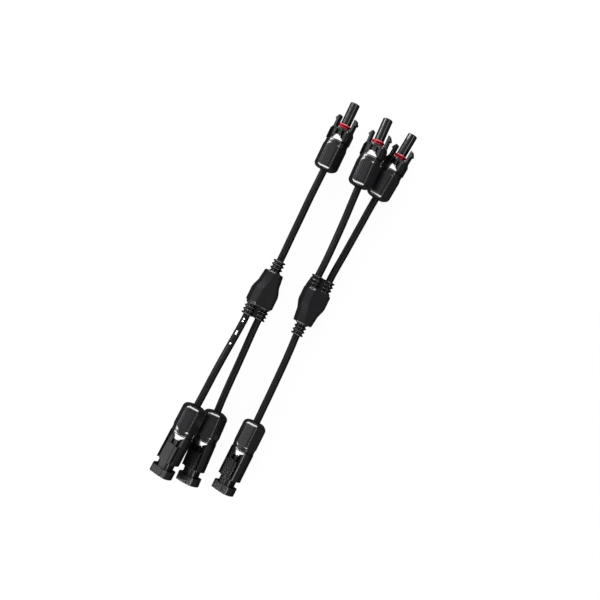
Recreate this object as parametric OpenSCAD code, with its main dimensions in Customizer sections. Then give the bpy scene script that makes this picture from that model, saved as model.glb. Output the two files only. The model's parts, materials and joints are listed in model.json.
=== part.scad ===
// Two Y-branch solar leads: three socket couplers, three pin couplers, two Y mouldings.
// Millimetres, +Y along the leads, +Z up, both leads lying on the plane Z = 0.
// Each coupler is drawn in a frame of its own: its axis is local Z, pointing to the mating end,
// local X runs from wing to wing, and Z = 0 is the front face of its gland nut.

/* [Gland] */
// Radius over the corners of the gland nut
nut_r = 10; // [9.6:0.1:10.2]
// Width across the flats of the gland nut
nut_flats = 18.3; // [18:0.1:18.8]
// Length of the gland nut
nut_len = 24.3; // [23.6:0.1:25]
// Radius over the crests of the gland thread
thread_r = 6.8; // [6.6:0.05:6.9]
// Pitch of the gland thread
thread_pitch = 1.5; // [1.25:0.25:1.5]
// Radius of the cable hole at the rear of the nut
nut_hole_r = 3.7; // [3.5:0.1:4]

/* [Socket coupler] */
// Radius of the probe
probe_r = 3.9; // [3.7:0.05:3.95]
// Distance from the nut to the tip of the probe
probe_end = 32.5; // [32:0.1:34]
// Length of the side wings
wing_len = 9.9; // [9.5:0.1:10.2]
// Outer radius of the side wings
wing_r = 9.9; // [9.6:0.1:10]
// Outer radius of the seal ring
seal_r = 5.1; // [4.9:0.05:5.2]
// Inner radius of the socket contact
socket_bore_r = 2.05; // [2.03:0.01:2.1]

/* [Locking arms] */
// Distance from the nut to the tips of the arms
arm_end = 20.6; // [20:0.1:21]
// Thickness of an arm
arm_t = 2; // [1.8:0.1:2]
// Width of an arm
arm_w = 5.8; // [5.4:0.1:6]
// How far the hook stands out from the arm
hook_out = 1; // [0.8:0.1:1]

/* [Pin coupler] */
// Outer radius of the shell over its rails
shell_r = 9.5; // [9.3:0.1:9.6]
// Distance from the nut to the mouth
mouth_end = 35.3; // [35:0.1:36.5]
// Length of the ring in front of the latch windows
mouth_ring = 6.1; // [5.5:0.1:6.5]
// Length of a latch window
window_len = 5.9; // [5.4:0.1:6.2]
// Radius of the bore that takes the probe
shell_bore_r = 4.1; // [4.1:0.05:4.2]
// Radius of the contact pin
pin_r = 2; // [1.98:0.01:2]

/* [Y moulding] */
// Length of the moulded body
y_len = 28.8; // [28:0.1:29.4]
// Half width of the body at its twin end
y_wide = 10.7; // [10.5:0.1:10.9]
// Half width of the body at its single end
y_narrow = 7; // [6.8:0.1:7.2]
// Half height of the body
y_high = 7.3; // [7:0.1:7.4]
// Length of the ribbed strain relief
boot_len = 9.8; // [9.4:0.1:10.2]
// Radius over the ribs of the strain relief
boot_r = 5.15; // [4.9:0.05:5.25]

/* [Cable] */
// Outer radius of the cable jacket
cable_r = 2.85; // [2.7:0.05:3]
// Radius of the stranded conductor
wire_r = 1.3; // [1.2:0.05:1.35]

/* [Hidden] */

fine = 48;
eps = 0.01;

// Where each coupler lies: nut front, then pitch, heading and roll in degrees.
F1 = [[-19.9, 129.2, 10], 0, 0.5, -24];
F2 = [[9.2, 127.5, 21.4], -2.5, 2.1, -20];
F3 = [[28.1, 127.1, 10], 0, -4.5, -24];
M1 = [[-28.4, -125.9, 22], -2.5, 177.9, 21];
M2 = [[-10.7, -124.9, 10], 0, 182.8, 27];
M3 = [[18.9, -118.9, 10], 0, 179.5, 33];
// How far each nut is turned, in degrees.
NUT_TURN = [11, 6, 8, -12, -18, -12];

// Where each Y moulding lies: middle of its twin end, heading of its single end, and roll.
YA = [[-19.5, -12.5, 9.9], 0, 28];
YB = [[17.2, 18.9, 9.9], 180, 28];

// Each cable's route, from inside its coupler to inside its Y moulding.
F1_ROUTE = [
    [-19.9, 124.5, 10], [-19.8, 117.8, 10], [-19.8, 105.8, 10], [-19.9, 93.8, 10],
    [-20, 79.8, 9.9], [-19.8, 63.8, 9.8], [-19.7, 47.8, 9.8], [-19.5, 35.8, 9.9],
    [-19.5, 23.8, 9.9], [-19.5, 8, 9.9],
];
F2_ROUTE = [
    [9.4, 122.7, 21.6], [9.6, 116.1, 21.9], [10.1, 103.8, 22.4], [10.7, 91.8, 22.8],
    [11.5, 77.8, 21.4], [12.1, 63.8, 18.3], [12.5, 49.8, 14.8], [12.6, 39.8, 12.9],
    [12.4, 28.8, 12.4], [12.4, 11.8, 12.4],
];
F3_ROUTE = [
    [27.7, 122.3, 10], [27.2, 116.1, 10], [26.3, 103.8, 10], [25.4, 91.8, 10],
    [24.7, 77.8, 9.6], [23.9, 63.8, 8.7], [23.1, 49.8, 7.8], [22.4, 39.8, 7.4],
    [22, 28.8, 7.4], [22, 11.8, 7.4],
];
M1_ROUTE = [
    [-28.2, -121.1, 22.2], [-28, -114.2, 22.5], [-27.5, -102.2, 23], [-27, -90.2, 23.3],
    [-26.6, -76.2, 22.1], [-26.1, -62.2, 18.9], [-25.4, -48.2, 15], [-24.7, -35.2, 12.8],
    [-24.3, -22.2, 12.4], [-24.3, -5.2, 12.4],
];
M2_ROUTE = [
    [-10.9, -120.1, 10], [-11.3, -113.2, 10], [-11.9, -101.2, 10], [-12.6, -89.2, 10],
    [-13.1, -75.2, 9.6], [-13.5, -61.2, 8.6], [-14, -47.2, 7.8], [-14.5, -34.2, 7.4],
    [-14.7, -22.2, 7.4], [-14.7, -5.2, 7.4],
];
M3_ROUTE = [
    [18.9, -114.1, 10], [19, -107.2, 10], [19.1, -95.2, 10], [19, -83.2, 10],
    [18.9, -70.2, 9.9], [18.7, -56.2, 9.8], [18.4, -42.2, 9.8], [17.9, -30.2, 9.9],
    [17.2, -17.2, 9.9], [17.2, -1.2, 9.9],
];

// Seats and clearances inside the gland.
spigot_end = -13;
seat_r = 5.5;
seat_depth = -4.5;
flank = 0.55;
core_r = thread_r - flank;
claw_front = -13.2;
claw_bend = -15;
claw_end = -21;
claw_r = 6.4;
claw_tip_r = 4.6;
claw_bore_r = 3.45;
nut_bore_r = thread_r + 0.09;
dome_len = 5.5;
rear_len = 4.2;
nut_mouth_r = 7.6;
nut_rear_r = 5;

// Shared sizes of the body between the nut and the mating end.
flat_y = 7.8;
pocket_x = 7;
pocket_y = 4.4;
pocket_end = 9.3;
ramp_r = 9.2;
ramp_end = 4.3;
bridge_x = 2.8;
bridge_y = 7.1;
rim = 0.7;
block_x = 5;
block_y = 7;
strip_x = 2.6;
strip_y = 7.5;
collar_end = 10.6;
collar_r = 5.9;
collar_x = 4.9;
seal_end = 14.1;
seal_seat_r = 3.7;
arm_x = 6.3;
channel_y = arm_w / 2 + 0.4;
channel_back = 0.6;
channel_out = 8.75;
tip_chamfer = 0.5;
hook_back = arm_end - 4.1;
slot_in = 6.1;
slot_out = 8.5;
window_front = mouth_end - mouth_ring;
window_back = window_front - window_len;
core_out = 6.7;
core_y = 6.3;
pin_end = mouth_end - 4.6;
bore_floor = mouth_end - 21.5;

// Contacts.
barrel_r = 2.4;
barrel_bore_r = 1.45;
contact_r = 2.75;
contact_back = -3.2;
contact_step = 8;
band_r = 2.4;
band_from = 18;
band_to = 24;

// Puts a coupler drawn along local Z where it lies.
module place(c) {
    translate(c[0])
        rotate([0, 0, c[2]])
            rotate([c[1] - 90, 0, 0])
                rotate([0, 0, c[3]])
                    children();
}

// A tube or bar turned from a list of [radius, height] points.
module turned(points) {
    rotate_extrude($fn = fine) polygon(points);
}

module bar(r, from, to) {
    translate([0, 0, from]) cylinder(r = r, h = to - from, $fn = fine);
}

module box_between(low, high) {
    translate(low) cube(high - low);
}

// A copy on each side of the plane X = 0.
module both_wings() {
    children();
    mirror([1, 0, 0]) children();
}

// A copy on each side of the plane Y = 0.
module both_faces() {
    children();
    mirror([0, 1, 0]) children();
}

// ---- Pieces that every coupler has ----

// Hollow threaded spigot behind the shoulder, with crests at each pitch.
module spigot() {
    crests = floor((-spigot_end - 2) / thread_pitch);
    difference() {
        union() {
            bar(core_r, spigot_end, eps);
            for (i = [0 : crests - 1])
                turned([
                    [core_r - 0.3, spigot_end + 0.5 + i * thread_pitch],
                    [core_r, spigot_end + 0.5 + i * thread_pitch],
                    [thread_r, spigot_end + 0.5 + (i + 0.4) * thread_pitch],
                    [thread_r, spigot_end + 0.5 + (i + 0.55) * thread_pitch],
                    [core_r, spigot_end + 0.5 + (i + 0.95) * thread_pitch],
                    [core_r - 0.3, spigot_end + 0.5 + (i + 0.95) * thread_pitch],
                ]);
        }
        bar(seat_r, spigot_end - 1, seat_depth);
    }
}

// Ramp that falls from the nut to the bridge, wide at the nut and narrow at the bridge.
module ramp() {
    wide = pocket_x + 0.4;
    narrow = bridge_x - 0.2;
    intersection() {
        turned([[0, 0], [ramp_r, 0], [ramp_r, 0.3], [bridge_y - 0.1, ramp_end], [0, ramp_end]]);
        rotate([90, 0, 0])
            linear_extrude(height = 2 * nut_r, center = true)
                polygon([
                    [-wide, -1], [wide, -1], [wide, 0.6], [narrow + 1, ramp_end - 1.6],
                    [narrow, ramp_end + 1], [-narrow, ramp_end + 1],
                    [-narrow - 1, ramp_end - 1.6], [-wide, 0.6],
                ]);
    }
}

// Narrow hollow bridge from the ramp to the far end of the pocket, on both faces.
module bridge() {
    inside = bridge_x - rim;
    both_faces()
        difference() {
            box_between([-bridge_x, 1, ramp_end - 1.5], [bridge_x, bridge_y, pocket_end + 0.2]);
            box_between([-inside, pocket_y + 0.4, ramp_end - 0.5], [inside, nut_r, pocket_end - rim]);
        }
}

// Removes what stands between the wings or rails in front of the nut.
module pocket() {
    both_faces() box_between([-pocket_x, pocket_y, -eps], [pocket_x, nut_r, pocket_end]);
}

// Round body with its top and bottom cut flat.
module flat_round(r, from, to) {
    intersection() {
        bar(r, from, to);
        box_between([-r, -flat_y, from], [r, flat_y, to]);
    }
}

module gland_nut(turn) {
    dome = [
        for (a = [0 : 15 : 90])
            [nut_mouth_r + (nut_r - nut_mouth_r) * cos(a), -dome_len + dome_len * sin(a)]
    ];
    rear = [
        for (a = [0 : 15 : 90])
            [nut_rear_r + (nut_r - nut_rear_r) * sin(a), -nut_len + rear_len - rear_len * cos(a)]
    ];
    color("#26262a")
        rotate([0, 0, turn])
            difference() {
                intersection() {
                    turned(concat([[0, -nut_len]], rear, dome, [[0, 0]]));
                    translate([0, 0, -nut_len])
                        cylinder(r = nut_flats / 2 / cos(30), h = nut_len, $fn = 6);
                }
                bar(nut_bore_r, claw_bend, 1);
                turned([
                    [0, -nut_len - 1], [nut_hole_r, -nut_len - 1], [nut_hole_r, claw_end - 0.5],
                    [claw_tip_r + 0.5, claw_end - 0.5], [nut_bore_r, claw_bend + eps],
                    [0, claw_bend + eps],
                ]);
            }
}

// Ring with tapered fingers that the nut's cone closes on the cable.
module clamp_claw() {
    color("#3a3a3e")
        difference() {
            turned([
                [claw_bore_r, claw_end], [claw_tip_r, claw_end], [claw_r, claw_bend],
                [claw_r, claw_front], [claw_bore_r, claw_front],
            ]);
            for (a = [0 : 60 : 120])
                rotate([0, 0, a])
                    box_between([-claw_r - 1, -0.5, claw_end - 1], [claw_r + 1, 0.5, claw_bend - 0.6]);
        }
}

module cable_grommet() {
    color("#202022")
        difference() {
            bar(seat_r - 0.05, spigot_end, seat_depth - 0.05);
            bar(cable_r + 0.15, spigot_end - 1, seat_depth + 1);
        }
}

// ---- Socket coupler ----

module socket_housing() {
    color("#1b1b1e")
        difference() {
            union() {
                spigot();
                wings();
                intersection() {
                    bar(collar_r, pocket_end - 0.9, collar_end);
                    box_between([-collar_x, -nut_r, 0], [collar_x, nut_r, collar_end + 1]);
                }
                bar(seal_seat_r, 0, seal_end + 0.5);
                bar(probe_r, seal_end, probe_end - tip_chamfer);
                translate([0, 0, probe_end - tip_chamfer])
                    cylinder(r1 = probe_r, r2 = probe_r - tip_chamfer, h = tip_chamfer, $fn = fine);
            }
            bar(contact_r + 0.05, contact_step + 2, probe_end - 1.2);
            bar(barrel_r + 0.1, seat_depth - 1, contact_step + 3);
            bar(socket_bore_r + 0.25, probe_end - 2, probe_end + 1);
        }
}

// Two wings joined by the ramp and bridge, each with a channel for its arm.
module wings() {
    difference() {
        union() {
            difference() {
                flat_round(wing_r, 0, wing_len);
                pocket();
                both_faces()
                    box_between([-pocket_x, collar_r - 0.3, pocket_end - 1], [pocket_x, nut_r, nut_r]);
            }
            ramp();
            bridge();
        }
        both_wings()
            box_between([collar_x, -channel_y, channel_back], [channel_out, channel_y, wing_len + 1]);
        turned([
            [wing_r - 1, wing_len + eps], [wing_r + eps, wing_len - 2.2],
            [wing_r + 1, wing_len + eps],
        ]);
    }
}

// Sprung arm on the +X side, hooked outward.
module locking_arm() {
    color("#232326")
        rotate([90, 0, 0])
            translate([0, 0, -arm_w / 2])
                linear_extrude(height = arm_w)
                    polygon([
                        [arm_x, 0.9], [arm_x + arm_t, 0.9], [arm_x + arm_t, hook_back - 0.3],
                        [arm_x + arm_t + hook_out, hook_back],
                        [arm_x + arm_t + hook_out, hook_back + 1],
                        [arm_x + 1.3, arm_end - 0.3], [arm_x + 0.8, arm_end], [arm_x, arm_end],
                    ]);
}

// Red ring with two lips.
module seal_ring() {
    color("#b3202c")
        turned([
            [seal_seat_r + 0.05, collar_end + 0.05], [seal_r - 0.3, collar_end + 0.05],
            [seal_r, collar_end + 0.4], [seal_r, collar_end + 0.9], [seal_r - 0.9, collar_end + 1.3],
            [seal_r - 0.9, seal_end - 1.7], [seal_r, seal_end - 1.3], [seal_r, seal_end - 0.6],
            [seal_r - 0.4, seal_end - 0.05], [seal_seat_r + 0.05, seal_end - 0.05],
        ]);
}

module socket_contact() {
    color("#c9ccd0")
        difference() {
            union() {
                bar(barrel_r, contact_back, contact_step + 2.5);
                bar(contact_r, contact_step + 2.5, probe_end - 1.3);
            }
            bar(barrel_bore_r, contact_back - 1, contact_step);
            bar(socket_bore_r, 14, probe_end);
            bar(band_r, band_from, band_to);
        }
}

module contact_band() {
    color("#d9a441")
        difference() {
            bar(band_r - 0.02, band_from + 0.1, band_to - 0.1);
            bar(socket_bore_r - 0.02, band_from - 1, band_to + 1);
        }
}

// ---- Pin coupler ----

module pin_housing() {
    color("#1b1b1e")
        difference() {
            union() {
                spigot();
                ramp();
                bridge();
                difference() {
                    flat_round(shell_r, 0, mouth_end);
                    pocket();
                    rail_grooves();
                    latch_windows();
                }
            }
            both_wings()
                box_between([slot_in, -channel_y, window_back], [slot_out, channel_y, mouth_end + 1]);
            bar(shell_bore_r, bore_floor, mouth_end + 1);
            bar(seal_r + 0.05, mouth_end - 4, mouth_end + 1);
            bar(contact_r + 0.05, contact_step + 2, bore_floor + 1);
            bar(barrel_r + 0.1, seat_depth - 1, contact_step + 3);
        }
}

// Lowers the middle block but for a strip along it, and parts it from the rails with a groove
// on each side.
module rail_grooves() {
    both_faces() {
        box_between([-pocket_x, strip_y, pocket_end - 1], [pocket_x, nut_r, mouth_end + 1]);
        both_wings() {
            box_between([strip_x, block_y, pocket_end - 1], [pocket_x, nut_r, mouth_end + 1]);
            box_between([block_x, pocket_y + 0.2, pocket_end - 1], [pocket_x, nut_r, window_front]);
        }
    }
}

// Cut round both rails, down to the core, that the hooks snap out into.
module latch_windows() {
    difference() {
        bar(shell_r + 1, window_back, window_front);
        intersection() {
            bar(core_out, window_back - 1, window_front + 1);
            box_between([-core_out, -core_y, window_back - 1], [core_out, core_y, window_front + 1]);
        }
    }
    both_wings()
        box_between([slot_out - 1, -channel_y, window_back], [shell_r + 1, channel_y, window_front]);
}

module pin_contact() {
    color("#c9ccd0")
        difference() {
            union() {
                bar(barrel_r, contact_back, contact_step + 2.5);
                bar(contact_r, contact_step + 2.5, bore_floor);
                bar(pin_r, 0, pin_end - 1.2);
                turned([
                    [0, pin_end - 1.2], [pin_r, pin_end - 1.2], [pin_r - 0.35, pin_end - 0.4],
                    [pin_r - 1, pin_end], [0, pin_end],
                ]);
            }
            bar(barrel_bore_r, contact_back - 1, contact_step);
        }
}

// ---- Y moulding ----
// Drawn along local +Y from its twin end at Y = 0 to its single end.

twin_x = 5.4;
jacket_in = 8;
boot_valley = 3.75;
ribs = 3;
twin_face = 6.7;
single_face = 2.6;
twin_side = 3.8;
single_side = 3.4;
single_high = 6.5;
waist = 11.5;
hip = 19;
hip_wide = 8.2;

// Slice of the faceted body: half width, half height, half width of its top face and half
// height of its side.
module y_slice(y, wide, high, face, side) {
    translate([0, y, 0])
        rotate([90, 0, 0])
            linear_extrude(height = 0.02, center = true)
                polygon([
                    [face, high], [wide, side], [wide, -side], [face, -high],
                    [-face, -high], [-wide, -side], [-wide, side], [-face, high],
                ]);
}

// Strain relief along +Y from Y = 0: sharp ribs on a thin neck.
module boot() {
    pitch = (boot_len - 0.8) / ribs;
    rotate([-90, 0, 0])
        turned(concat(
            [[0, -0.5], [boot_r, -0.5], [boot_r, 0.2]],
            [for (i = [0 : ribs - 1]) each [
                [boot_valley, i * pitch + 1.4], [boot_valley, i * pitch + 1.9],
                [boot_r, i * pitch + pitch], [boot_r, i * pitch + pitch + 0.3],
            ]],
            [[boot_r - 0.8, boot_len], [0, boot_len]]
        ));
}

// Web that joins the two ribbed strain reliefs.
module twin_web() {
    box_between([-2.2, -boot_len + 1.2, -2.6], [2.2, 1, 2.6]);
}

// Smooth shoulder along the outer side of one strain relief.
module twin_shoulder() {
    hull() {
        box_between([twin_x + 1, -0.4, -3.6], [y_wide - 0.4, 1.2, 3.6]);
        box_between([twin_x + 1, -5.7, -3], [9.5, -5.5, 3]);
        box_between([twin_x + 1, -9.15, -2.6], [8.6, -8.8, 2.6]);
    }
}

module y_moulding(shoulder) {
    color("#242427")
        difference() {
            union() {
                twin_web();
                if (shoulder) twin_shoulder();
                hull() {
                    y_slice(0, y_wide - 2, y_high - 0.9, twin_face - 1.2, twin_side - 0.5);
                    y_slice(1.6, y_wide, y_high, twin_face, twin_side);
                    y_slice(waist, y_wide, y_high, twin_face, twin_side);
                }
                hull() {
                    y_slice(waist, y_wide, y_high, twin_face, twin_side);
                    y_slice(waist + 2.5, y_wide - 0.6, y_high, twin_face - 0.7, twin_side);
                    y_slice(hip, hip_wide, 7, 4.2, 3.6);
                }
                hull() {
                    y_slice(hip, hip_wide, 7, 4.2, 3.6);
                    y_slice(y_len - 0.6, y_narrow, single_high, single_face, single_side);
                    y_slice(y_len, y_narrow - 0.6, single_high - 0.6, single_face - 0.2, single_side - 0.3);
                }
                translate([0, y_len, 0]) boot();
                for (x = [-twin_x, twin_x])
                    translate([x, 0, 0]) mirror([0, 1, 0]) boot();
            }
            rotate([-90, 0, 0]) {
                bar(cable_r + 0.15, y_len - jacket_in - 0.5, y_len + boot_len + 1);
                for (x = [-twin_x, twin_x])
                    translate([x, 0, 0]) bar(cable_r + 0.15, -boot_len - 1, jacket_in + 0.5);
            }
            splice_room();
        }
}

// Space in the middle of the moulding where the bare conductors meet.
module splice_room() {
    translate([0, 0, -3.6])
        linear_extrude(height = 7.2)
            polygon([
                [-7.8, 5], [7.8, 5], [7.8, 8.5], [4, 12], [4, y_len - jacket_in + 0.6],
                [-4, y_len - jacket_in + 0.6], [-4, 12], [-7.8, 8.5],
            ]);
}

// Crimped sleeve: two conductors enter one end and one enters the other.
module splice_crimp() {
    color("#b9793f")
        rotate([-90, 0, 0])
            difference() {
                bar(3.4, 12.6, 19.4);
                for (x = [-1.55, 1.55])
                    translate([x, 0, 0]) bar(barrel_bore_r, 12, 15.6);
                bar(barrel_bore_r, 16.2, 20);
            }
}

module place_y(c) {
    translate(c[0]) rotate([0, c[2], 0]) rotate([0, 0, c[1]]) children();
}

// ---- Cables ----

function unit(v) = v / norm(v);

// Direction of a route at point i.
function heading(route, i) =
    unit(route[min(i + 1, len(route) - 1)] - route[max(i - 1, 0)]);

// Ring of points square to the route at point i.
function ring(route, i, r, sides) =
    let (
        t = heading(route, i),
        a = unit(cross(t, [0, 0, 1])),
        b = cross(a, t)
    )
    [for (k = [0 : sides - 1])
        route[i] + r * (a * cos(360 * k / sides) + b * sin(360 * k / sides))];

// Quadrilaterals that join each ring to the next; flip turns them inside out.
function walls(first, rings, sides, flip) =
    [for (i = [0 : rings - 2]) for (k = [0 : sides - 1])
        let (
            n = (k + 1) % sides,
            p = first + i * sides,
            q = [p + k, p + n, p + sides + n, p + sides + k]
        )
        flip ? [q[3], q[2], q[1], q[0]] : q];

// Solid bar along a route.
module swept_bar(route, r, sides) {
    n = len(route);
    points = [for (i = [0 : n - 1]) each ring(route, i, r, sides)];
    polyhedron(points, concat(
        walls(0, n, sides, false),
        [[for (k = [sides - 1 : -1 : 0]) k]],
        [[for (k = [0 : sides - 1]) (n - 1) * sides + k]]
    ));
}

// Hollow tube along a route.
module swept_tube(route, r, inner, sides) {
    n = len(route);
    last = (n - 1) * sides;
    hollow = n * sides;
    points = concat(
        [for (i = [0 : n - 1]) each ring(route, i, r, sides)],
        [for (i = [0 : n - 1]) each ring(route, i, inner, sides)]
    );
    polyhedron(points, concat(
        walls(0, n, sides, false),
        walls(hollow, n, sides, true),
        [for (k = [0 : sides - 1])
            [hollow + k, hollow + (k + 1) % sides, (k + 1) % sides, k]],
        [for (k = [0 : sides - 1])
            [last + k, last + (k + 1) % sides, hollow + last + (k + 1) % sides, hollow + last + k]]
    ));
}

module cable_jacket(route) {
    color("#1c1c1f") swept_tube(route, cable_r, wire_r + 0.25, 12);
}

// Conductor: the jacket's route with bare ends that reach the contact and the splice.
module conductor(route, contact_end, splice_end) {
    color("#b87333") swept_bar(concat([contact_end], route, splice_end), wire_r, 8);
}

// A point of a coupler's axis, in the part's frame.
function on_axis(c, s) =
    c[0] + s * [-sin(c[2]) * cos(c[1]), cos(c[2]) * cos(c[1]), sin(c[1])];

// A point of a Y moulding, in the part's frame.
function in_y(c, x, y) =
    let (side = c[1] == 0 ? 1 : -1)
    c[0] + [side * x * cos(c[2]), side * y, -side * x * sin(c[2])];

wire_tip = 7;

function twin_end(c, side) =
    [for (p = [[4.9, 8.8], [1.55, 11.6], [1.55, 15]]) in_y(c, side * p[0], p[1])];
function single_end(c) = [in_y(c, 0, 17)];

// ---- The assembly ----

module socket_coupler(name, c, turn) {
    place(c) socket_housing();
    place(c) locking_arm();
    place(c) mirror([1, 0, 0]) locking_arm();
    place(c) seal_ring();
    place(c) socket_contact();
    place(c) contact_band();
    place(c) cable_grommet();
    place(c) clamp_claw();
    place(c) gland_nut(turn);
}

module pin_coupler(name, c, turn) {
    place(c) pin_housing();
    place(c) pin_contact();
    place(c) cable_grommet();
    place(c) clamp_claw();
    place(c) gland_nut(turn);
}

module cable(name, c, route, splice_end) {
    cable_jacket(route);
    conductor(route, on_axis(c, wire_tip), splice_end);
}

socket_coupler("f1", F1, NUT_TURN[0]);
socket_coupler("f2", F2, NUT_TURN[1]);
socket_coupler("f3", F3, NUT_TURN[2]);
pin_coupler("m1", M1, NUT_TURN[3]);
pin_coupler("m2", M2, NUT_TURN[4]);
pin_coupler("m3", M3, NUT_TURN[5]);
place_y(YA) y_moulding(false);  // a_y_moulding
place_y(YA) splice_crimp();  // a_splice_crimp
place_y(YB) y_moulding(true);  // b_y_moulding
place_y(YB) splice_crimp();  // b_splice_crimp
cable("f1", F1, F1_ROUTE, single_end(YA));
cable("m1", M1, M1_ROUTE, twin_end(YA, -1));
cable("m2", M2, M2_ROUTE, twin_end(YA, 1));
cable("f2", F2, F2_ROUTE, twin_end(YB, 1));
cable("f3", F3, F3_ROUTE, twin_end(YB, -1));
cable("m3", M3, M3_ROUTE, single_end(YB));
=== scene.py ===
"""Looks for two Y-branch solar leads: couplers, nuts, Y mouldings and cables on a white table."""
import json
import math

import bmesh
import bpy
from mathutils import Matrix, Vector


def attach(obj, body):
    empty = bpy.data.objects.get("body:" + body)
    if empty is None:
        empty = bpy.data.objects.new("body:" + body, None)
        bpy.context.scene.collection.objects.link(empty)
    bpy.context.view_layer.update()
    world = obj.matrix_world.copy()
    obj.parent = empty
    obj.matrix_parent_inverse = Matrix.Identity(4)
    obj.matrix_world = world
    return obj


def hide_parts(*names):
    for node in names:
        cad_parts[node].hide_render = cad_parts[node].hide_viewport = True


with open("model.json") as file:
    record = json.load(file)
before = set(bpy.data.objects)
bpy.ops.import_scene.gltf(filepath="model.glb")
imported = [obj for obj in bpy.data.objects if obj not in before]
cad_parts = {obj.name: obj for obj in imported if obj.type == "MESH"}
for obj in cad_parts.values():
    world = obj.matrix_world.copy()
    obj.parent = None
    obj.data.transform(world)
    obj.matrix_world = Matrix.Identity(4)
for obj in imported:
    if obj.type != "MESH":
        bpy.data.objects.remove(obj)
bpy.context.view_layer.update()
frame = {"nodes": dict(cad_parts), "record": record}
NODES = frame["nodes"]
MM = 0.001
UP = Vector((0, 0, 1))

SOCKET_COUPLERS = ("f1", "f2", "f3")
PIN_COUPLERS = ("m1", "m2", "m3")
COUPLERS = SOCKET_COUPLERS + PIN_COUPLERS
LEAD = {"f1": "lead_a", "m1": "lead_a", "m2": "lead_a", "f2": "lead_b", "f3": "lead_b", "m3": "lead_b"}
# Where each coupler lies, in millimetres and degrees: nut front, pitch, heading and roll.
PLACES = {
    "f1": ((-19.9, 129.2, 10), 0, 0.5, -24),
    "f2": ((9.2, 127.5, 21.4), -2.5, 2.1, -20),
    "f3": ((28.1, 127.1, 10), 0, -4.5, -24),
    "m1": ((-28.4, -125.9, 22), -2.5, 177.9, 21),
    "m2": ((-10.7, -124.9, 10), 0, 182.8, 27),
    "m3": ((18.9, -118.9, 10), 0, 179.5, 33),
}
# How far each nut is turned on its coupler, in degrees.
NUT_TURN = {"f1": 11, "f2": 6, "f3": 8, "m1": -12, "m2": -18, "m3": -12}


# ---- Camera ----

# The camera looks straight down, turned so that the leads run up to the right.
LOOK_AT = (7.8 * MM, 5.8 * MM)
CAMERA_HEIGHT = 0.75
CAMERA_TURN = 26
LENS = 57.05


def camera():
    data = bpy.data.cameras.new("camera")
    data.lens = LENS
    data.sensor_width = 36
    data.clip_start = 0.01
    eye = bpy.data.objects.new("camera", data)
    eye.location = (*LOOK_AT, CAMERA_HEIGHT)
    eye.rotation_euler = (0, 0, math.radians(CAMERA_TURN))
    bpy.context.scene.collection.objects.link(eye)
    bpy.context.scene.camera = eye


camera()


# ---- Cables ----

CABLE_R = 2.85
CABLE_SIDES = 32
# How many short stretches the line has between two points of a route.
STEPS = 8
# Each cable's route in millimetres, from inside its coupler to inside its Y moulding.
ROUTES = {
    "f1": [
        (-19.9, 124.5, 10), (-19.8, 117.8, 10), (-19.8, 105.8, 10), (-19.9, 93.8, 10),
        (-20, 79.8, 9.9), (-19.8, 63.8, 9.8), (-19.7, 47.8, 9.8), (-19.5, 35.8, 9.9),
        (-19.5, 23.8, 9.9), (-19.5, 8, 9.9),
    ],
    "f2": [
        (9.4, 122.7, 21.6), (9.6, 116.1, 21.9), (10.1, 103.8, 22.4), (10.7, 91.8, 22.8),
        (11.5, 77.8, 21.4), (12.1, 63.8, 18.3), (12.5, 49.8, 14.8), (12.6, 39.8, 12.9),
        (12.4, 28.8, 12.4), (12.4, 11.8, 12.4),
    ],
    "f3": [
        (27.7, 122.3, 10), (27.2, 116.1, 10), (26.3, 103.8, 10), (25.4, 91.8, 10),
        (24.7, 77.8, 9.6), (23.9, 63.8, 8.7), (23.1, 49.8, 7.8), (22.4, 39.8, 7.4),
        (22, 28.8, 7.4), (22, 11.8, 7.4),
    ],
    "m1": [
        (-28.2, -121.1, 22.2), (-28, -114.2, 22.5), (-27.5, -102.2, 23), (-27, -90.2, 23.3),
        (-26.6, -76.2, 22.1), (-26.1, -62.2, 18.9), (-25.4, -48.2, 15), (-24.7, -35.2, 12.8),
        (-24.3, -22.2, 12.4), (-24.3, -5.2, 12.4),
    ],
    "m2": [
        (-10.9, -120.1, 10), (-11.3, -113.2, 10), (-11.9, -101.2, 10), (-12.6, -89.2, 10),
        (-13.1, -75.2, 9.6), (-13.5, -61.2, 8.6), (-14, -47.2, 7.8), (-14.5, -34.2, 7.4),
        (-14.7, -22.2, 7.4), (-14.7, -5.2, 7.4),
    ],
    "m3": [
        (18.9, -114.1, 10), (19, -107.2, 10), (19.1, -95.2, 10), (19, -83.2, 10),
        (18.9, -70.2, 9.9), (18.7, -56.2, 9.8), (18.4, -42.2, 9.8), (17.9, -30.2, 9.9),
        (17.2, -17.2, 9.9), (17.2, -1.2, 9.9),
    ],
}


def new_piece(name, points, faces, body):
    """A mesh piece from points in metres in the row frame, riding on a body."""
    mesh = bpy.data.meshes.new(name)
    mesh.from_pydata([tuple(p) for p in points], [], faces)
    for face in mesh.polygons:
        face.use_smooth = True
    mesh.set_sharp_from_angle(angle=math.radians(38))
    made = bpy.data.objects.new(name, mesh)
    bpy.context.scene.collection.objects.link(made)
    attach(made, body)
    return made


def smooth_route(route):
    """A Catmull-Rom line through the points of a route, in metres."""
    points = [Vector(p) * MM for p in route]
    ends = [points[0] * 2 - points[1]] + points + [points[-1] * 2 - points[-2]]
    line = []
    for a, b, c, d in zip(ends, ends[1:], ends[2:], ends[3:]):
        for k in range(STEPS):
            t = k / STEPS
            line.append(
                0.5 * (2 * b + (c - a) * t + (2 * a - 5 * b + 4 * c - d) * t * t
                       + (3 * b - a - 3 * c + d) * t ** 3)
            )
    return line + [points[-1]]


def across(line, i):
    """Two directions square to the line at point i: sideways, then upward."""
    ahead = (line[min(i + 1, len(line) - 1)] - line[max(i - 1, 0)]).normalized()
    side = ahead.cross(UP).normalized()
    return side, side.cross(ahead)


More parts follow.
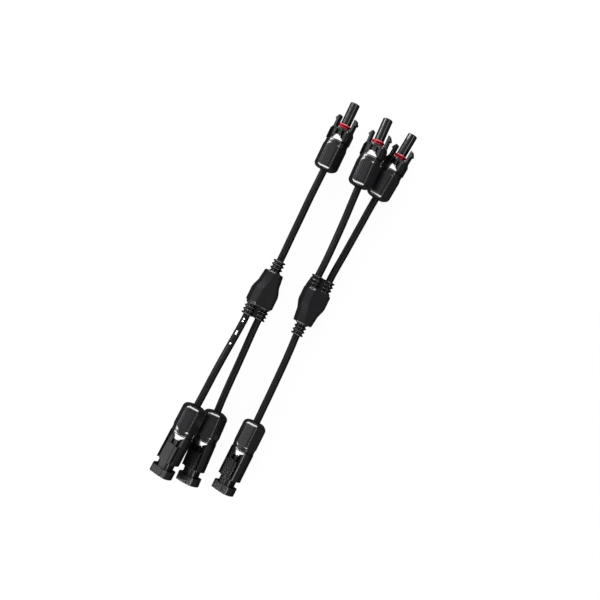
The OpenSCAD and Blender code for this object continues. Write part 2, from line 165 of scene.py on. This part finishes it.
def tube_faces(rings, sides):
    """Quads that join each ring of points to the next, facing outward."""
    faces = []
    for i in range(rings - 1):
        for k in range(sides):
            here = i * sides
            after = here + sides
            beside = (k + 1) % sides
            faces.append([here + k, here + beside, after + beside, after + k])
    return faces


def cable(name):
    """The cable of one coupler, as a tube along its smoothed route."""
    line = smooth_route(ROUTES[name])
    points = []
    for i, centre in enumerate(line):
        side, up = across(line, i)
        for k in range(CABLE_SIDES):
            a = 2 * math.pi * k / CABLE_SIDES
            points.append(centre + CABLE_R * MM * (side * math.cos(a) + up * math.sin(a)))
    faces = tube_faces(len(line), CABLE_SIDES)
    last = (len(line) - 1) * CABLE_SIDES
    faces.append(list(range(CABLE_SIDES))[::-1])
    faces.append([last + k for k in range(CABLE_SIDES)])
    piece = new_piece(name + "_cable", points, faces, LEAD[name])
    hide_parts(name + "_cable_jacket")
    return piece


CABLES = {name: cable(name) for name in COUPLERS}


# ---- Gland nuts ----

NUT_LEN = 24.3
FLATS = 18.3
CORNER_R = 10
# Radius and length of the plain collar, where the swell behind it ends, and the rear dome's length.
COLLAR_R = 9.3
COLLAR = 3
DOME = 5.5
REAR = 4.2
# Grooves on each flat: spacing, depth, half width of the grooved band, where they start and stop
# behind the front edge, the length over which they fade, and each one's half width as a share
# of the spacing.
RIB_GAP = 1.6
RIB_DEPTH = 0.1
RIB_BAND = 4.1
RIB_START = 4.5
RIB_STOP = 21.3
RIB_FADE = 1.2
RIB_SHARE = 0.2
# How sharply the flats meet: higher is sharper.
SHARP = 5
NUT_COLUMNS = 180
SWELL_STEPS = 8
REAR_STEPS = 12
# Radius and place of the corners of the bore, from the cable hole to the front.
BORE = ((3.7, -NUT_LEN), (3.7, -21.5), (5.1, -21.5), (6.89, -15), (6.89, 0))


def coupler_frame(name):
    """Matrix from a coupler's own frame, in metres, to the row frame."""
    place, pitch, heading, roll = PLACES[name]
    return (
        Matrix.Translation(Vector(place) * MM)
        @ Matrix.Rotation(math.radians(heading), 4, "Z")
        @ Matrix.Rotation(math.radians(pitch - 90), 4, "X")
        @ Matrix.Rotation(math.radians(roll), 4, "Z")
    )


def nut_profile():
    """Rows from the front edge to the rear: outer radius, place along the axis and shrink."""
    rows = [(8.2, 0, 1), (8.9, -0.2, 1), (9.2, -0.8, 1), (9.25, -2, 1), (COLLAR_R, -COLLAR, 1)]
    for k in range(1, SWELL_STEPS + 1):
        rise = (1 - math.cos(math.pi * k / SWELL_STEPS)) / 2
        swell = COLLAR_R + (CORNER_R - COLLAR_R) * rise
        rows.append((swell, -COLLAR - (DOME - COLLAR) * k / SWELL_STEPS, 1))
    for k in range(1, SWELL_STEPS):
        rows.append((CORNER_R, -DOME - (NUT_LEN - DOME - REAR) * k / SWELL_STEPS, 1))
    for k in range(REAR_STEPS + 1):
        a = math.radians(90 * k / REAR_STEPS)
        rows.append((CORNER_R, -NUT_LEN + REAR - REAR * math.sin(a), 0.5 + 0.5 * math.cos(a)))
    return rows


def groove_depth(along, s):
    """Depth of the fine grooves at a place on a flat, fading out at both ends of the nut."""
    if abs(along) >= RIB_BAND:
        return 0
    ends = min(1, max(0, (-s - RIB_START) / RIB_FADE), max(0, (s + RIB_STOP) / RIB_FADE))
    groove = max(0, 1 - abs((along / RIB_GAP + 0.5) % 1 - 0.5) / RIB_SHARE)
    return RIB_DEPTH * groove * ends


def nut_radius(limit, angle, s):
    """Radius of the nut at an angle: the profile's circle cut by six ribbed flats."""
    off = math.radians((math.degrees(angle) % 60) - 30)
    flat = FLATS / 2 / math.cos(off) - groove_depth(FLATS / 2 * math.tan(off), s)
    # A soft minimum rounds the ridges between the flats.
    return -math.log(math.exp(-SHARP * flat) + math.exp(-SHARP * limit)) / SHARP


def gland_nut(name):
    """A coupler's nut with rounded ridges and fine grooves on its flats."""
    to_row = coupler_frame(name)
    turn = math.radians(NUT_TURN[name])
    rows = nut_profile()
    points = []

    def add_point(radius, angle, s):
        x = radius * math.cos(angle + turn)
        y = radius * math.sin(angle + turn)
        points.append(to_row @ Vector((x * MM, y * MM, s * MM)))

    angles = [2 * math.pi * k / NUT_COLUMNS for k in range(NUT_COLUMNS)]
    for limit, s, shrink in rows:
        for angle in angles:
            add_point(shrink * nut_radius(limit, angle, s), angle, s)
    for radius, s in BORE:
        for angle in angles:
            add_point(radius, angle, s)
    rings = len(rows) + len(BORE)
    faces = [face[::-1] for face in tube_faces(rings, NUT_COLUMNS)]
    last = (rings - 1) * NUT_COLUMNS
    for k in range(NUT_COLUMNS):
        beside = (k + 1) % NUT_COLUMNS
        faces.append([k, beside, last + beside, last + k])
    piece = new_piece(name + "_nut_ribbed", points, faces, name + "_nut")
    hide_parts(name + "_gland_nut")
    return piece


NUTS = {name: gland_nut(name) for name in COUPLERS}


# ---- Printed marks on one cable ----

# Plain white dashes: place along the row frame's Y, and half length, both in millimetres.
DASHES = ((-26.4, 0.5), (-28.4, 0.5), (-37.6, 0.5), (-39.4, 0.8), (-48.4, 0.6))
# Each dash's half width and lean round the cable, in degrees, and its height above the jacket.
DASH_SPREAD = 12
DASH_LEAN = 8
DASH_LIFT = 0.03
DASH_ROWS = 2
DASH_COLUMNS = 4


def point_at(line, y):
    """The point where a line that runs along Y reaches y, and the index of the point before it."""
    i = max(k for k, p in enumerate(line) if p.y < y)
    share = (y - line[i].y) / (line[i + 1].y - line[i].y)
    return line[i].lerp(line[i + 1], share), i


def printed_marks():
    """Plain dashes printed on the first pin coupler's cable, just below the moulding."""
    line = smooth_route(ROUTES["m1"])
    wide = DASH_COLUMNS + 1
    reach = (CABLE_R + DASH_LIFT) * MM
    points = []
    faces = []
    for y, half in DASHES:
        start = len(points)
        for row in range(DASH_ROWS + 1):
            centre, i = point_at(line, (y + half * (2 * row / DASH_ROWS - 1)) * MM)
            side, up = across(line, i)
            for k in range(wide):
                a = math.radians(90 + DASH_LEAN + DASH_SPREAD * (2 * k / DASH_COLUMNS - 1))
                points.append(centre + reach * (side * math.cos(a) + up * math.sin(a)))
        for row in range(DASH_ROWS):
            for k in range(DASH_COLUMNS):
                a = start + row * wide + k
                faces.append([a, a + 1, a + wide + 1, a + wide])
    return new_piece("m1_printed_marks", points, faces, LEAD["m1"])


MARKS = printed_marks()


# ---- Materials ----

def new_material(name):
    """An empty material and its node tree, principled shader and output."""
    made = bpy.data.materials.new(name)
    made.use_nodes = True
    return made, made.node_tree, made.node_tree.nodes["Principled BSDF"]


def noise(tree, scale, detail, stretch=(1, 1, 1)):
    """Noise in the object's own coordinates; scale is in features per metre."""
    coordinates = tree.nodes.new("ShaderNodeTexCoord")
    mapping = tree.nodes.new("ShaderNodeMapping")
    mapping.inputs["Scale"].default_value = stretch
    texture = tree.nodes.new("ShaderNodeTexNoise")
    texture.inputs["Scale"].default_value = scale
    texture.inputs["Detail"].default_value = detail
    texture.inputs["Roughness"].default_value = 0.5
    tree.links.new(coordinates.outputs["Object"], mapping.inputs["Vector"])
    tree.links.new(mapping.outputs["Vector"], texture.inputs["Vector"])
    return texture.outputs["Fac"]


def ramp(tree, value, low, high):
    """Maps the middle of value's range onto the colours low to high."""
    node = tree.nodes.new("ShaderNodeValToRGB")
    first, last = node.color_ramp.elements
    first.position = 0.3
    first.color = (*low, 1)
    last.position = 0.7
    last.color = (*high, 1)
    tree.links.new(value, node.inputs["Fac"])
    return node.outputs["Color"]


def spread(tree, value, low, high):
    """Maps value from 0..1 onto low..high."""
    node = tree.nodes.new("ShaderNodeMapRange")
    node.inputs["To Min"].default_value = low
    node.inputs["To Max"].default_value = high
    tree.links.new(value, node.inputs["Value"])
    return node.outputs["Result"]


def bump(tree, height, depth):
    """A bump of the given depth in metres."""
    node = tree.nodes.new("ShaderNodeBump")
    node.inputs["Distance"].default_value = depth
    node.inputs["Strength"].default_value = 1.0
    tree.links.new(height, node.inputs["Height"])
    return node.outputs["Normal"]


def moulded(name, shades, gloss, grain, depth, shine=0.5, stretch=(1, 1, 1)):
    """Moulded plastic: shades that drift a little, uneven gloss and a fine grain.
    Grain is in features per metre, depth in metres."""
    made, tree, shader = new_material(name)
    tree.links.new(ramp(tree, noise(tree, 160, 3), *shades), shader.inputs["Base Color"])
    tree.links.new(spread(tree, noise(tree, 420, 4), *gloss), shader.inputs["Roughness"])
    tree.links.new(bump(tree, noise(tree, grain, 3, stretch), depth), shader.inputs["Normal"])
    shader.inputs["Specular IOR Level"].default_value = shine
    return made


def metal(name, dark, light, gloss, stretch=(1, 1, 1)):
    """Plated or drawn metal with fine streaks."""
    made, tree, shader = new_material(name)
    shader.inputs["Metallic"].default_value = 1.0
    tree.links.new(ramp(tree, noise(tree, 500, 4), dark, light), shader.inputs["Base Color"])
    tree.links.new(spread(tree, noise(tree, 1500, 3, stretch), *gloss), shader.inputs["Roughness"])
    tree.links.new(bump(tree, noise(tree, 2500, 2, stretch), 0.00001), shader.inputs["Normal"])
    return made


def silicone(name, dark, light):
    """Soft red sealing rubber with a faint bloom."""
    made, tree, shader = new_material(name)
    tree.links.new(ramp(tree, noise(tree, 700, 4), dark, light), shader.inputs["Base Color"])
    tree.links.new(spread(tree, noise(tree, 1200, 3), 0.3, 0.5), shader.inputs["Roughness"])
    tree.links.new(bump(tree, noise(tree, 3000, 2), 0.000001), shader.inputs["Normal"])
    shader.inputs["Specular IOR Level"].default_value = 0.2
    return made


def print_white(name):
    """Matt white printing ink, worn a little."""
    made, tree, shader = new_material(name)
    ink = ramp(tree, noise(tree, 3000, 3), (0.45, 0.45, 0.45), (0.8, 0.8, 0.8))
    tree.links.new(ink, shader.inputs["Base Color"])
    shader.inputs["Roughness"].default_value = 0.7
    return made


# Grain drawn out along the leads.
ALONG = (1, 0.04, 1)
# Darkest and lightest shade of each plastic.
BLACK = ((0.0012, 0.0012, 0.0014), (0.0019, 0.0019, 0.0022))
SATIN = ((0.0016, 0.0015, 0.0019), (0.0025, 0.0024, 0.0029))
RUBBER = ((0.02, 0.02, 0.02), (0.03, 0.03, 0.03))
NYLON = ((0.03, 0.03, 0.034), (0.045, 0.045, 0.05))
# Shades, least and most roughness, grain, depth of grain, shine and stretch of each plastic.
PLASTICS = {
    "housing_plastic": (BLACK, (0.16, 0.2), 2200, 0.0000005),
    "arm_plastic": (BLACK, (0.17, 0.22), 2200, 0.0000005),
    "nut_plastic": (SATIN, (0.19, 0.23), 2600, 0.0000005, 0.45),
    "moulding_plastic": (SATIN, (0.19, 0.24), 3000, 0.000001, 0.45),
    "cable_jacket": (BLACK, (0.3, 0.36), 1800, 0.000002, 0.14, ALONG),
    "grommet_rubber": (RUBBER, (0.6, 0.8), 2400, 0.00003),
    "claw_plastic": (NYLON, (0.35, 0.5), 2400, 0.00002),
}
# Darkest and lightest shade, least and most roughness, and stretch of each metal.
METALS = {
    "contact_plating": ((0.62, 0.63, 0.64), (0.78, 0.79, 0.8), (0.18, 0.32)),
    "contact_spring": ((0.72, 0.5, 0.2), (0.86, 0.62, 0.28), (0.15, 0.3)),
    "stranded_copper": ((0.55, 0.26, 0.13), (0.75, 0.4, 0.22), (0.2, 0.4), ALONG),
    "splice_copper": ((0.6, 0.3, 0.16), (0.75, 0.42, 0.25), (0.2, 0.35)),
}
MATERIALS = {name: moulded(name, *look) for name, look in PLASTICS.items()}
MATERIALS["seal_red"] = silicone("seal_red", (0.11, 0.0006, 0.004), (0.15, 0.0012, 0.008))
MATERIALS.update({name: metal(name, *look) for name, look in METALS.items()})
SLOT_OF = {part["node"]: part["material_slot"] for part in frame["record"]["subparts"]}


def paint(piece, slot):
    """Gives a piece the material of its slot."""
    piece.data.materials.clear()
    piece.data.materials.append(MATERIALS[slot])


for node_name, node in NODES.items():
    paint(node, SLOT_OF[node_name])
for piece in CABLES.values():
    paint(piece, "cable_jacket")
for piece in NUTS.values():
    paint(piece, "nut_plastic")
MARKS.data.materials.append(print_white("print_white"))


# ---- CAD pieces that stay: softened edges ----

def soften(node, width, segments=2):
    """Rounds the edges of a CAD piece, as a mould does. Width is in millimetres."""
    weld = node.modifiers.new("weld", "WELD")
    weld.merge_threshold = 0.000001
    flat = node.modifiers.new("flat", "DECIMATE")
    flat.decimate_type = "DISSOLVE"
    flat.angle_limit = math.radians(1)
    edge = node.modifiers.new("edge", "BEVEL")
    edge.width = width * MM
    edge.segments = segments
    edge.limit_method = "ANGLE"
    edge.angle_limit = math.radians(32)
    edge.use_clamp_overlap = True
    edge.miter_outer = "MITER_ARC"
    for face in node.data.polygons:
        face.use_smooth = True
    shade = node.modifiers.new("shade", "WEIGHTED_NORMAL")
    shade.keep_sharp = True


for name in SOCKET_COUPLERS:
    for part in ("_housing", "_arm_left", "_arm_right"):
        soften(NODES[name + part], 0.25)
for name in PIN_COUPLERS:
    soften(NODES[name + "_housing"], 0.45, 3)
for name in ("a", "b"):
    soften(NODES[name + "_y_moulding"], 0.35)


# ---- Table and light ----

def table():
    """A white table that glows enough to hide its shadows, and that the plastics don't mirror."""
    mesh = bpy.data.meshes.new("table")
    build = bmesh.new()
    bmesh.ops.create_grid(build, x_segments=1, y_segments=1, size=3)
    build.to_mesh(mesh)
    build.free()
    floor = bpy.data.objects.new("table", mesh)
    bpy.context.scene.collection.objects.link(floor)
    made, tree, shader = new_material("table_white")
    shader.inputs["Base Color"].default_value = (0.012, 0.012, 0.012, 1)
    shader.inputs["Roughness"].default_value = 0.9
    shader.inputs["Specular IOR Level"].default_value = 0.1
    shader.inputs["Emission Color"].default_value = (1, 1, 1, 1)
    shader.inputs["Emission Strength"].default_value = 0.95
    mesh.materials.append(made)
    floor.visible_glossy = False


LIGHT_DISTANCE = 0.8
# Azimuth and elevation in degrees, width and height in metres, and glow in watts per square
# metre and steradian. Azimuth 0 stands past the socket couplers, 90 to their right.
LIGHTS = {
    "far_box": (-20, 19, (1.6, 0.5), 22),
    "near_box": (-165, 19, (1.6, 0.5), 24),
    "left_near_box": (-112, 8, (0.4, 0.08), 8),
    "left_far_box": (-78, 8, (0.5, 0.08), 5),
    "left_top_box": (-90, 48, (0.9, 0.3), 1.2),
    "right_strip": (90, 56, (0.9, 0.1), 7),
}


def softbox(name, azimuth, elevation, size, glow):
    """An area light that faces the middle of the leads."""
    data = bpy.data.lights.new(name, "AREA")
    data.shape = "RECTANGLE"
    data.size, data.size_y = size
    data.energy = glow * math.pi * size[0] * size[1]
    lamp = bpy.data.objects.new(name, data)
    a = math.radians(azimuth)
    e = math.radians(elevation)
    away = Vector((math.sin(a) * math.cos(e), math.cos(a) * math.cos(e), math.sin(e)))
    lamp.location = away * LIGHT_DISTANCE
    lamp.rotation_euler = away.to_track_quat("Z", "Y").to_euler()
    bpy.context.scene.collection.objects.link(lamp)


# Grey of the room by height: 0 is straight down, 0.5 the horizon and 1 straight up.
SKY = ((0, 0.04), (0.48, 0.05), (0.54, 0.3), (0.7, 0.16), (1, 0.35))


def sky():
    """A dim room, dark below, with a paler band just over the horizon."""
    world = bpy.data.worlds.new("studio")
    bpy.context.scene.world = world
    world.use_nodes = True
    tree = world.node_tree
    coordinates = tree.nodes.new("ShaderNodeTexCoord")
    split = tree.nodes.new("ShaderNodeSeparateXYZ")
    shades = tree.nodes.new("ShaderNodeValToRGB")
    stops = shades.color_ramp.elements
    for position, _ in SKY[1:-1]:
        stops.new(position)
    for stop, (_, grey) in zip(stops, SKY):
        stop.color = (grey, grey, grey, 1)
    height = tree.nodes.new("ShaderNodeMapRange")
    height.inputs["From Min"].default_value = -1
    tree.links.new(coordinates.outputs["Generated"], split.inputs["Vector"])
    tree.links.new(split.outputs["Z"], height.inputs["Value"])
    tree.links.new(height.outputs["Result"], shades.inputs["Fac"])
    tree.links.new(shades.outputs["Color"], tree.nodes["Background"].inputs["Color"])
    tree.nodes["Background"].inputs["Strength"].default_value = 1.0


table()
sky()
for name, light in LIGHTS.items():
    softbox(name, *light)
bpy.context.scene.view_settings.view_transform = "Standard"


# ---- Update the scene ----

bpy.context.view_layer.update()
